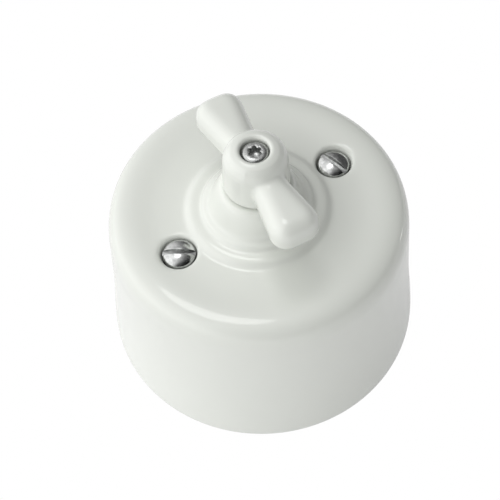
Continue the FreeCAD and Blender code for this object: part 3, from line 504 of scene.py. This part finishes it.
def rolled_metal(name, colour, tint, along=(1, 1, 14), roughness=(0.25, 0.45)):
    # Sheet or bar with a rolled grain, stained a little by handling.
    recipe = Recipe(name)
    recipe.set(Metallic=1.0)
    grain = recipe.noise(1.2 * MM, 4.0, 0.6, recipe.mapped(scale=along))
    stain = recipe.ranged(recipe.noise(5 * MM, 4.0, 0.6), 0.4, 0.7, 0.0, 0.8)
    tone = recipe.mixed(recipe.ranged(grain, 0.3, 0.7, 0.0, 1.0), colour, scaled(colour, 0.86))
    recipe.feed(recipe.mixed(stain, tone, tint), "Base Color")
    low, high = roughness
    recipe.feed(recipe.ranged(recipe.noise(2 * MM, 4.0, 0.6), 0.3, 0.7, low, high), "Roughness")
    recipe.feed(recipe.bump(grain, 0.006 * MM, 0.4), "Normal")
    return recipe.material


def pressed_fibre(name, colour):
    recipe = Recipe(name)
    recipe.set(Specular_IOR_Level=0.3)
    threads = recipe.noise(0.25 * MM, 5.0, 0.75)
    pale = scaled(colour, 2.6)
    recipe.feed(
        recipe.mixed(recipe.ranged(threads, 0.45, 0.75, 0.0, 1.0), colour, pale), "Base Color"
    )
    recipe.feed(recipe.ranged(threads, 0.3, 0.7, 0.6, 0.9), "Roughness")
    recipe.feed(recipe.bump(threads, 0.03 * MM, 0.6), "Normal")
    return recipe.material


def steatite(name):
    # Unglazed insulating ceramic: chalky, with a fine grain and a few grey grains.
    recipe = Recipe(name)
    grain = recipe.noise(0.5 * MM, 5.0, 0.7)
    cream = (0.72, 0.66, 0.55)
    colour = recipe.mixed(recipe.ranged(grain, 0.3, 0.75, 0.0, 1.0), cream, (0.63, 0.57, 0.47))
    grains = recipe.ranged(recipe.cells(0.8 * MM), 0.04, 0.09, 0.5, 0.0)
    recipe.feed(recipe.mixed(grains, colour, (0.35, 0.33, 0.30)), "Base Color")
    recipe.feed(recipe.ranged(grain, 0.3, 0.7, 0.62, 0.85), "Roughness")
    recipe.feed(recipe.bump(grain, 0.02 * MM, 0.5), "Normal")
    return recipe.material


# Pieces


class SWITCH_OT_cover(bpy.types.Operator):
    """Turns the glazed cover with its waist, rim and stepped boss, and sinks the screw recesses"""

    bl_idname = "switch.cover"
    bl_label = "Cover"

    def execute(self, context):
        sizes = settings()[0]
        face = FACE_HEIGHT
        lip = COVER_LOW.z
        foot, waist, rim = sizes.foot_radius, sizes.waist_radius, sizes.rim_radius
        roof = face - sizes.top
        outside = [
            (foot - 0.7 * MM, lip),
            (foot - 0.12 * MM, lip + 0.02 * MM),
            (foot, lip + 0.5 * MM),
            (foot - 0.08 * MM, lip + 2.6 * MM),
            (foot - 0.48 * MM, lip + 6.5 * MM),
            (foot - 1.10 * MM, lip + 12.0 * MM),
            (foot - 1.80 * MM, lip + 18.0 * MM),
            (waist + 0.75 * MM, face - 19.5 * MM),
            (waist + 0.43 * MM, face - 14.5 * MM),
            (waist + 0.12 * MM, face - 10.5 * MM),
            (rim + 0.12 * MM, face - 7.8 * MM),
            (rim + 0.02 * MM, face - 5.6 * MM),
            (rim - 0.24 * MM, face - 3.6 * MM),
            (rim - 0.74 * MM, face - 2.0 * MM),
            (rim - 1.52 * MM, face - 0.9 * MM),
            (rim - 2.5 * MM, face - 0.3 * MM),
            (rim - 3.8 * MM, face + 0.02 * MM),
            (rim - 5.2 * MM, face + 0.14 * MM),
            (rim - 7.2 * MM, face + 0.12 * MM),
            (24.0 * MM, face - 0.25 * MM),
            (20.0 * MM, face - 0.35 * MM),
        ]
        boss = [
            (17.6 * MM, face - 0.37 * MM),
            (16.8 * MM, face - 0.3 * MM),
            (16.0 * MM, face + 0.25 * MM),
            (15.3 * MM, face + 0.6 * MM),
            (14.2 * MM, face + 0.66 * MM),
            (13.3 * MM, face + 0.68 * MM),
            (12.9 * MM, face + 0.95 * MM),
            (12.6 * MM, face + 1.5 * MM),
            (12.1 * MM, face + 1.85 * MM),
            (11.4 * MM, face + 2.0 * MM),
            (10.8 * MM, face + 2.6 * MM),
            (9.8 * MM, face + 5.2 * MM),
            (8.9 * MM, face + 7.4 * MM),
            (8.2 * MM, face + 8.35 * MM),
            (7.2 * MM, face + 8.65 * MM),
            (5.0 * MM, face + 8.5 * MM),
            (3.9 * MM, face + 8.45 * MM),
            (3.45 * MM, face + 7.9 * MM),
            (3.45 * MM, face + 5.1 * MM),
            (3.9 * MM, face + 4.5 * MM),
            (5.3 * MM, face + 4.4 * MM),
        ]
        inside = [
            (5.9 * MM, face + 3.8 * MM),
            (10.4 * MM, roof + 0.5 * MM),
            (11.4 * MM, roof),
            (waist - sizes.wall - 3.0 * MM, roof),
            (waist - sizes.wall - 0.5 * MM, roof - 0.6 * MM),
            (waist - sizes.wall, roof - 3.0 * MM),
            (waist - sizes.wall, lip + 32.0 * MM),
            (waist - sizes.wall + 2.1 * MM, lip + 19.0 * MM),
            (waist - sizes.wall + 2.85 * MM, lip + 14.0 * MM),
            (foot - 5.0 * MM, lip + 1.5 * MM),
            (foot - 4.9 * MM, lip),
            outside[0],
        ]
        cover = turned("porcelain_cover", outside + boss + inside, PORCELAIN_SEGMENTS, closed=True)
        finish_with(cover, "SUBSURF", levels=2, render_levels=2)
        for side in (-1, 1):
            self.add_pad(cover, side, roof)
            self.sink_recess(cover, side, sizes)
        self.soften_mouths(cover, sizes)
        smooth_shading(cover, 50)
        dress(cover, porcelain("porcelain_glaze"), "switch_body", "porcelain", "cover")
        return {"FINISHED"}

    def add_pad(self, cover, side, roof):
        # The thick ring under the face that stands on the post.
        rings = [(PAD_RADIUS, POST_HIGH.z), (PAD_RADIUS, roof + 1.5 * MM)]
        pad = turned("pad", rings, SMALL_SEGMENTS, capped=True)
        shift(pad, (side * SCREW_OFFSET, 0, 0))
        combine(cover, pad, "UNION")

    def sink_recess(self, cover, side, sizes):
        seat = WASHERS_LOW.z
        soft = sizes.mouth_softness
        radius = sizes.counterbore_radius
        top = FACE_HEIGHT
        rings = [
            (COVER_HOLE_RADIUS, POST_HIGH.z - 1 * MM),
            (COVER_HOLE_RADIUS, seat),
            (radius - 0.3 * MM, seat),
            (radius, seat + 0.3 * MM),
            (radius, top - 1.5 * soft),
            (radius + 0.14 * soft, top - 1.0 * soft),
            (radius + 0.42 * soft, top - 0.6 * soft),
            (radius + 0.9 * soft, top - 0.3 * soft),
            (radius + 1.3 * soft, top + 1 * MM),
        ]
        cutter = turned("recess", rings, SMALL_SEGMENTS, capped=True)
        shift(cutter, (side * SCREW_OFFSET, 0, 0))
        combine(cover, cutter, "DIFFERENCE")

    def soften_mouths(self, cover, sizes):
        reach = sizes.counterbore_radius + 2.2 * sizes.mouth_softness
        floor = WASHERS_HIGH.z

        def near_mouth(point):
            away = math.hypot(abs(point.x) - abs(SCREW_OFFSET), point.y)
            return away < reach and point.z > floor

        select_points(cover, near_mouth)
        bpy.ops.mesh.vertices_smooth(factor=0.5, repeat=6)
        bpy.ops.object.mode_set(mode="OBJECT")


class SWITCH_OT_knob(bpy.types.Operator):
    """Models the porcelain knob: a round hub with two thick wings that run softly into it"""

    bl_idname = "switch.knob"
    bl_label = "Knob"

    def execute(self, context):
        sizes = settings()[1]
        low, high = KNOB_LOW.z - sizes.skirt, KNOB_HIGH.z
        hub = sizes.hub_radius
        seat = high - sizes.recess_depth
        rings = [
            (KNOB_BORE_RADIUS, low),
            (hub - 0.4 * MM, low),
            (hub + 0.3 * MM, low + 0.3 * MM),
            (hub + 0.45 * MM, low + 1.0 * MM),
            (hub + 0.25 * MM, high - 6.5 * MM),
            (hub + 0.1 * MM, high - 3.4 * MM),
            (hub - 0.15 * MM, high - 2.2 * MM),
            (hub - 0.82 * MM, high - 1.0 * MM),
            (hub - 1.75 * MM, high - 0.28 * MM),
            (hub - 2.8 * MM, high),
            (sizes.recess_radius + 0.4 * MM, high),
            (sizes.recess_radius, high - 0.35 * MM),
            (sizes.recess_radius, seat),
            (KNOB_BORE_RADIUS, seat),
            (KNOB_BORE_RADIUS, low),
        ]
        knob = turned("porcelain_knob", rings, SMALL_SEGMENTS, closed=True)
        self.sink_socket(knob)
        for side in (0, 1):
            join(knob, self.wing(sizes, side))
        # Remeshing makes one skin of the hub and the two wings that are pushed into it.
        finish_with(knob, "REMESH", mode="VOXEL", voxel_size=sizes.detail)
        finish_with(knob, "SMOOTH", factor=0.5, iterations=9)
        self.soften_roots(knob, sizes)
        smooth_shading(knob)
        dress(knob, porcelain("knob_glaze"), "rotor", "porcelain", "knob")
        return {"FINISHED"}

    def wing(self, sizes, side):
        # A flat outline that widens to a blunt end, drawn up and then rounded above and below.
        low = KNOB_LOW.z + WING_LIFT
        reach = sizes.wing_reach
        root, neck_end = WING_ROOT, WING_NECK_END
        deselect()
        bpy.ops.mesh.primitive_plane_add(size=1, location=(0, (root + neck_end) / 2, low))
        wing = name_piece(bpy.context.object, "wing")
        wing.scale = (2 * sizes.wing_neck, neck_end - root, 1)
        apply_place(wing)
        select_points(wing, lambda point: point.y > (root + neck_end) / 2)
        bpy.ops.mesh.extrude_edges_move(TRANSFORM_OT_translate={"value": (0, reach - neck_end, 0)})
        growth = sizes.wing_end / sizes.wing_neck
        bpy.ops.transform.resize(value=(growth, 1, 1), center_override=(0, reach, low))
        bpy.ops.mesh.bevel(affect="VERTICES", offset=sizes.wing_corner, segments=10)
        select_edges(wing, lambda ends: all(abs(end.y - neck_end) < NEAR for end in ends))
        bpy.ops.mesh.dissolve_edges(use_verts=False)
        bpy.ops.mesh.select_all(action="SELECT")
        bpy.ops.mesh.extrude_region_move(
            TRANSFORM_OT_translate={"value": (0, 0, sizes.wing_height)}
        )
        high = low + sizes.wing_height
        for level, rounding in ((high, WING_TOP_ROUNDING), (low, WING_LOW_ROUNDING)):
            select_edges(wing, self.outline_at(level))
            bpy.ops.mesh.bevel(affect="EDGES", offset=rounding, segments=8, clamp_overlap=False)
        bpy.ops.mesh.select_all(action="SELECT")
        bpy.ops.mesh.normals_make_consistent(inside=False)
        bpy.ops.object.mode_set(mode="OBJECT")
        wing.rotation_euler = (0, 0, side * math.pi + sizes.wing_turn)
        apply_place(wing)
        return wing

    def outline_at(self, level):
        # Tells the outline's edges at one level from the one that is hidden in the hub.
        def wanted(ends):
            at_level = all(abs(end.z - level) < NEAR for end in ends)
            return at_level and max(end.y for end in ends) > WING_ROOT + NEAR

        return wanted

    def soften_roots(self, knob, sizes):
        # The glaze rounds the wings and fills the corners where they run into the hub.
        inner = sizes.hub_radius - 1.6 * MM
        along = math.pi / 2 + sizes.wing_turn

        def near_root(point):
            away = math.hypot(point.x, point.y)
            turn = (math.atan2(point.y, point.x) - along + math.pi / 2) % math.pi - math.pi / 2
            return away > inner and abs(turn) < ROOT_SPREAD and point.z > KNOB_LOW.z + 3 * MM

        select_points(knob, near_root)
        bpy.ops.mesh.vertices_smooth(factor=0.5, repeat=sizes.root_softness)
        bpy.ops.object.mode_set(mode="OBJECT")

    def sink_socket(self, knob):
        # Round mouth for the spindle, then the square that drives it.
        below = KNOB_LOW.z - 2.5 * MM
        rings = [
            (SOCKET_MOUTH_RADIUS, below), (SOCKET_MOUTH_RADIUS, KNOB_LOW.z + SOCKET_MOUTH_DEPTH)
        ]
        mouth = turned("mouth", rings, SMALL_SEGMENTS, capped=True)
        combine(knob, mouth, "DIFFERENCE")
        deselect()
        height = SPINDLE_TOP - KNOB_LOW.z
        middle = (SPINDLE_TOP + KNOB_LOW.z) / 2
        bpy.ops.mesh.primitive_cube_add(size=1, location=(0, 0, middle))
        square = name_piece(bpy.context.object, "square")
        square.scale = (SOCKET_SQUARE, SOCKET_SQUARE, height)
        apply_place(square)
        combine(knob, square, "DIFFERENCE")


class SWITCH_OT_cover_screws(bpy.types.Operator):
    """Models the two slotted screws with domed, plated heads"""

    bl_idname = "switch.cover_screws"
    bl_label = "Cover screws"

    def execute(self, context):
        colours = settings()[2]
        head = SCREWS_HIGH.x - SCREW_OFFSET
        seat = WASHERS_HIGH.z
        top = SCREWS_HIGH.z
        for name, side, degrees in (("right", 1, -76), ("left", -1, -35)):
            rings = [
                (COVER_SCREW_RADIUS, SCREWS_LOW.z),
                (COVER_SCREW_RADIUS, seat - 0.2 * MM),
                (2.1 * MM, seat),
                (head - 0.2 * MM, seat),
                (head, seat + 0.2 * MM),
                (head, seat + 0.85 * MM),
                (head - 0.1 * MM, seat + 1.15 * MM),
                (0.90 * head, top - 0.80 * MM),
                (0.74 * head, top - 0.50 * MM),
                (0.52 * head, top - 0.23 * MM),
                (0.28 * head, top - 0.07 * MM),
                (0.10 * head, top - 0.01 * MM),
            ]
            screw = turned("cover_screw_" + name, rings, SMALL_SEGMENTS, capped=True)
            deselect()
            bpy.ops.mesh.primitive_cube_add(size=1, location=(0, 0, top))
            slot = name_piece(bpy.context.object, "slot")
            slot.scale = (SLOT_LENGTH, SLOT_WIDTH, 2 * SLOT_DEPTH)
            slot.rotation_euler = (0, 0, math.radians(degrees))
            apply_place(slot)
            combine(screw, slot, "DIFFERENCE")
            finish_with(
                screw, "BEVEL", width=0.16 * MM, segments=3, limit_method="ANGLE", angle_limit=0.7
            )
            centre = (side * SCREW_OFFSET, 0, 0)
            shift(screw, centre)
            smooth_shading(screw, 40)
            metal = turned_metal(
                "bright_plating_" + name, colours.plating, centre, roughness=(0.1, 0.24), grime=0.45
            )
            dress(screw, metal, "switch_body", "plated_steel", "cover_screws")
        return {"FINISHED"}


class SWITCH_OT_knob_screw(bpy.types.Operator):
    """Models the darkened screw in the top of the knob, with its six-lobed drive"""

    bl_idname = "switch.knob_screw"
    bl_label = "Knob screw"

    def execute(self, context):
        colours = settings()[2]
        seat = KNOB_HIGH.z - 2.5 * MM
        top = KNOB_SCREW_HIGH.z
        head = KNOB_SCREW_HIGH.x + KNOB_SCREW_HEAD_GROWTH
        rings = [
            (KNOB_SCREW_RADIUS, KNOB_SCREW_LOW.z),
            (KNOB_SCREW_RADIUS, seat),
            (head - 0.1 * MM, seat),
            (head, seat + 0.2 * MM),
            (head, seat + 1.3 * MM),
            (0.97 * head, top - 0.36 * MM),
            (0.88 * head, top - 0.13 * MM),
            (0.70 * head, top - 0.03 * MM),
        ]
        screw = turned("knob_screw_dark", rings, SMALL_SEGMENTS, capped=True)
        for i in range(LOBES):
            angle = 2 * math.pi * i / LOBES
            lobe = turned("lobe", in_mm((0.42, -1.8), (0.46, 1)), FINE_SEGMENTS, capped=True)
            shift(lobe, (LOBE_PLACE * math.cos(angle), LOBE_PLACE * math.sin(angle), top))
            combine(screw, lobe, "DIFFERENCE")
        drive = turned("drive", in_mm((1.12, -1.9), (1.16, 1)), SMALL_SEGMENTS, capped=True)
        shift(drive, (0, 0, top))
        combine(screw, drive, "DIFFERENCE")
        finish_with(
            screw, "BEVEL", width=0.05 * MM, segments=2, limit_method="ANGLE", angle_limit=0.8
        )
        smooth_shading(screw, 40)
        metal = turned_metal(
            "dark_screw_steel", colours.dark_steel, roughness=(0.2, 0.38), grime=0.35
        )
        dress(screw, metal, "rotor", "dark_steel", "knob_screw")
        return {"FINISHED"}


class SWITCH_OT_mechanism(bpy.types.Operator):
    """Gives the base and each piece of the mechanism its own finish"""

    bl_idname = "switch.mechanism"
    bl_label = "Mechanism"

    def execute(self, context):
        colours = settings()[2]
        machined = (0.56, 0.56, 0.57)
        finishes = {
            "porcelain": porcelain("base_glaze", foot_height=0.0),
            # The washers' near-black fibre is partly painted shade for the gap round each cover
            # screw head.
            "fibre": pressed_fibre("washer_fibre_and_painted_shade", colours.fibre),
            "brass": turned_metal(
                "machined_brass", colours.brass, spacing=0.25 * MM, roughness=(0.22, 0.4)
            ),
            "bronze": rolled_metal("bronze_strip", colours.bronze, (0.42, 0.25, 0.16)),
            "zinc_steel": rolled_metal(
                "zinc_plate", (0.60, 0.61, 0.63), (0.52, 0.50, 0.42), (5, 5, 5)
            ),
            "plain_steel": turned_metal(
                "machined_steel", machined, roughness=(0.25, 0.42), grime=0.3
            ),
            "spring_steel": rolled_metal(
                "blued_spring", (0.20, 0.22, 0.28), (0.14, 0.13, 0.15), (1, 14, 1)
            ),
            "steatite": steatite("bare_steatite"),
        }
        replaced = ("cover", "knob", "cover_screws", "knob_screw")
        for row in frame["record"]["subparts"]:
            if row["node"] in replaced:
                continue
            node = frame["nodes"][row["node"]]
            for place in node.material_slots:
                place.material = finishes[row["material_slot"]]
        return {"FINISHED"}


# The studio

FOCAL_LENGTH_PX = 1146.5
PHOTO_WIDTH_PX = 500.0
SENSOR_WIDTH = 36.0
CAMERA_AZIMUTH = -30.58
CAMERA_ELEVATION = 58.3
CAMERA_DISTANCE = 306.5 * MM
CAMERA_ROLL = 3.92
VIEW_OFFSET = (2.449 * MM, -15.517 * MM)

# Where the light comes from: azimuth from the camera's, elevation, and for a lamp its distance
WINDOW_PLACE = (-90, 20)
FRONT_PLACE = (0, 20)
DARK_PLACE = (25, 35)
OVERHEAD = (0, 90)
OVERHEAD_LAMP_PLACE = (-158, 73, 0.62)
SIDE_LAMP_PLACE = (104, 12, 0.62)
LAMPS_AIM = Vector((0, 0, 0.03))


def around(azimuth, elevation, distance):
    # A point seen from the object at an azimuth counted from the camera's, positive to its right.
    a = math.radians(CAMERA_AZIMUTH + azimuth)
    e = math.radians(elevation)
    return Vector((math.sin(a) * math.cos(e), -math.cos(a) * math.cos(e), math.sin(e))) * distance


class SWITCH_OT_studio(bpy.types.Operator):
    """Adds the pale floor, the soft light and the camera at the photograph's angle"""

    bl_idname = "switch.studio"
    bl_label = "Studio"

    def execute(self, context):
        studio = settings()[3]
        self.add_floor(studio)
        self.add_world(studio)
        self.add_lamp("overhead_lamp", OVERHEAD_LAMP_PLACE, 0.17, studio.lamp_power)
        self.add_lamp("side_lamp", SIDE_LAMP_PLACE, 0.07, 0.3 * studio.lamp_power)
        self.add_camera()
        context.scene.view_settings.view_transform = "Standard"
        return {"FINISHED"}

    def add_floor(self, studio):
        deselect()
        bpy.ops.mesh.primitive_plane_add(size=studio.floor_size, location=(0, 0, -0.02 * MM))
        floor = name_piece(bpy.context.object, "studio_floor")
        recipe = Recipe("pale_floor")
        recipe.set(Base_Color=(0.9, 0.9, 0.9, 1), Roughness=0.9)
        glow = recipe.nodes.new("ShaderNodeEmission")
        glow.inputs["Color"].default_value = (1, 1, 1, 1)
        blend = recipe.nodes.new("ShaderNodeMixShader")
        reflected = recipe.ray_is("Glossy", "Transmission")
        mirrored = recipe.maths("MULTIPLY", reflected, studio.mirrored_floor)
        share = recipe.maths("MAXIMUM", recipe.ray_is("Camera"), mirrored)
        recipe.links.new(share, blend.inputs[0])
        recipe.links.new(recipe.shader.outputs[0], blend.inputs[1])
        recipe.links.new(glow.outputs[0], blend.inputs[2])
        recipe.links.new(blend.outputs[0], recipe.nodes["Material Output"].inputs["Surface"])
        floor.data.materials.append(recipe.material)

    def add_world(self, studio):
        # A white room: bright on one side, dim on the other, and white where it meets the floor.
        world = bpy.data.worlds.new("studio_light")
        bpy.context.scene.world = world
        world.use_nodes = True
        graph = Graph(world.node_tree)
        direction = graph.nodes.new("ShaderNodeTexCoord").outputs["Generated"]
        window = self.glow(graph, direction, WINDOW_PLACE, (-0.2, 1.0), studio.window)
        front = self.glow(graph, direction, FRONT_PLACE, (0.0, 1.0), studio.front)
        glossy = graph.ray_is("Glossy")
        front = graph.maths("MULTIPLY", front, graph.maths("SUBTRACT", 1.0, glossy))
        dark = self.glow(graph, direction, DARK_PLACE, (0.5, 0.85), studio.mirrored_room)
        seen = graph.maths("SUBTRACT", 1.0, graph.maths("MULTIPLY", dark, glossy))
        strength = graph.maths("MULTIPLY", graph.maths("ADD", window, studio.everywhere), seen)
        strength = graph.maths("ADD", strength, front)
        low_down = graph.ranged(self.towards(graph, direction, OVERHEAD), 0.0, 0.06, 1.0, 0.0)
        horizon = graph.maths("MULTIPLY", graph.ray_is("Glossy", "Transmission"), low_down)
        white = graph.maths("MAXIMUM", graph.ray_is("Camera"), horizon)
        even = graph.maths("MULTIPLY", strength, graph.maths("SUBTRACT", 1.0, white))
        background = graph.nodes["Background"]
        background.inputs["Color"].default_value = (1, 1, 1, 1)
        graph.links.new(graph.maths("ADD", even, white), background.inputs["Strength"])

    def glow(self, graph, direction, place, fade, strength):
        # A soft patch, strongest towards a place, that fades out between two nearnesses to it.
        nearness = self.towards(graph, direction, place)
        return graph.ranged(nearness, *fade, 0.0, strength, "SMOOTHSTEP")

    def towards(self, graph, direction, place):
        # How nearly a direction points at a place: 1 straight at it, and -1 straight away.
        node = graph.nodes.new("ShaderNodeVectorMath")
        node.operation = "DOT_PRODUCT"
        graph.links.new(direction, node.inputs[0])
        node.inputs[1].default_value = around(*place, 1.0)
        return node.outputs["Value"]

    def add_lamp(self, name, place, size, power):
        deselect()
        where = around(*place)
        bpy.ops.object.light_add(type="AREA", location=where)
        lamp = bpy.context.object
        lamp.name = name
        lamp.data.shape = "DISK"
        lamp.data.size = size
        lamp.data.energy = power
        lamp.rotation_mode = "QUATERNION"
        lamp.rotation_quaternion = (LAMPS_AIM - where).to_track_quat("-Z", "Y")

    def add_camera(self):
        turn = Matrix.Rotation(math.radians(CAMERA_AZIMUTH), 3, "Z")
        tilt = math.radians(CAMERA_ELEVATION)
        roll = math.radians(CAMERA_ROLL)
        back = Vector((0, -math.cos(tilt), math.sin(tilt)))
        level = Vector((1, 0, 0))
        upward = back.cross(level)
        right = turn @ (math.cos(roll) * level - math.sin(roll) * upward)
        up = turn @ (math.sin(roll) * level + math.cos(roll) * upward)
        place = turn @ (CAMERA_DISTANCE * back - Vector((*VIEW_OFFSET, 0)))
        bpy.ops.object.camera_add(location=place)
        camera = bpy.context.object
        camera.rotation_mode = "QUATERNION"
        camera.rotation_quaternion = Matrix((right, up, turn @ back)).transposed().to_quaternion()
        camera.data.sensor_width = SENSOR_WIDTH
        camera.data.lens = FOCAL_LENGTH_PX * SENSOR_WIDTH / PHOTO_WIDTH_PX
        camera.data.clip_start = 0.01
        camera.data.clip_end = 10
        bpy.context.scene.camera = camera


class SWITCH_PT_panel(bpy.types.Panel):
    """Lists the operators in the order in which they are used"""

    bl_label = "Porcelain switch"
    bl_idname = "SWITCH_PT_panel"
    bl_space_type = "VIEW_3D"
    bl_region_type = "UI"
    bl_category = "Switch"

    def draw(self, context):
        for operator in OPERATORS:
            self.layout.operator(operator.bl_idname)


OPERATORS = (
    SWITCH_OT_cover,
    SWITCH_OT_knob,
    SWITCH_OT_cover_screws,
    SWITCH_OT_knob_screw,
    SWITCH_OT_mechanism,
    SWITCH_OT_studio,
)
GROUPS = {
    "switch_cover": SwitchCoverSizes,
    "switch_knob": SwitchKnobSizes,
    "switch_colours": SwitchColours,
    "switch_studio": SwitchStudio,
}


def register():
    for name, group in GROUPS.items():
        bpy.utils.register_class(group)
        setattr(bpy.types.Scene, name, bpy.props.PointerProperty(type=group))
    for operator in OPERATORS:
        bpy.utils.register_class(operator)
    bpy.utils.register_class(SWITCH_PT_panel)


def unregister():
    bpy.utils.unregister_class(SWITCH_PT_panel)
    for operator in reversed(OPERATORS):
        bpy.utils.unregister_class(operator)
    for name, group in reversed(GROUPS.items()):
        delattr(bpy.types.Scene, name)
        bpy.utils.unregister_class(group)


def main():
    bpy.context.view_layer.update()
    register()
    bpy.ops.switch.cover()
    bpy.ops.switch.knob()
    bpy.ops.switch.cover_screws()
    bpy.ops.switch.knob_screw()
    bpy.ops.switch.mechanism()
    bpy.ops.switch.studio()


if __name__ == "__main__":
    main()
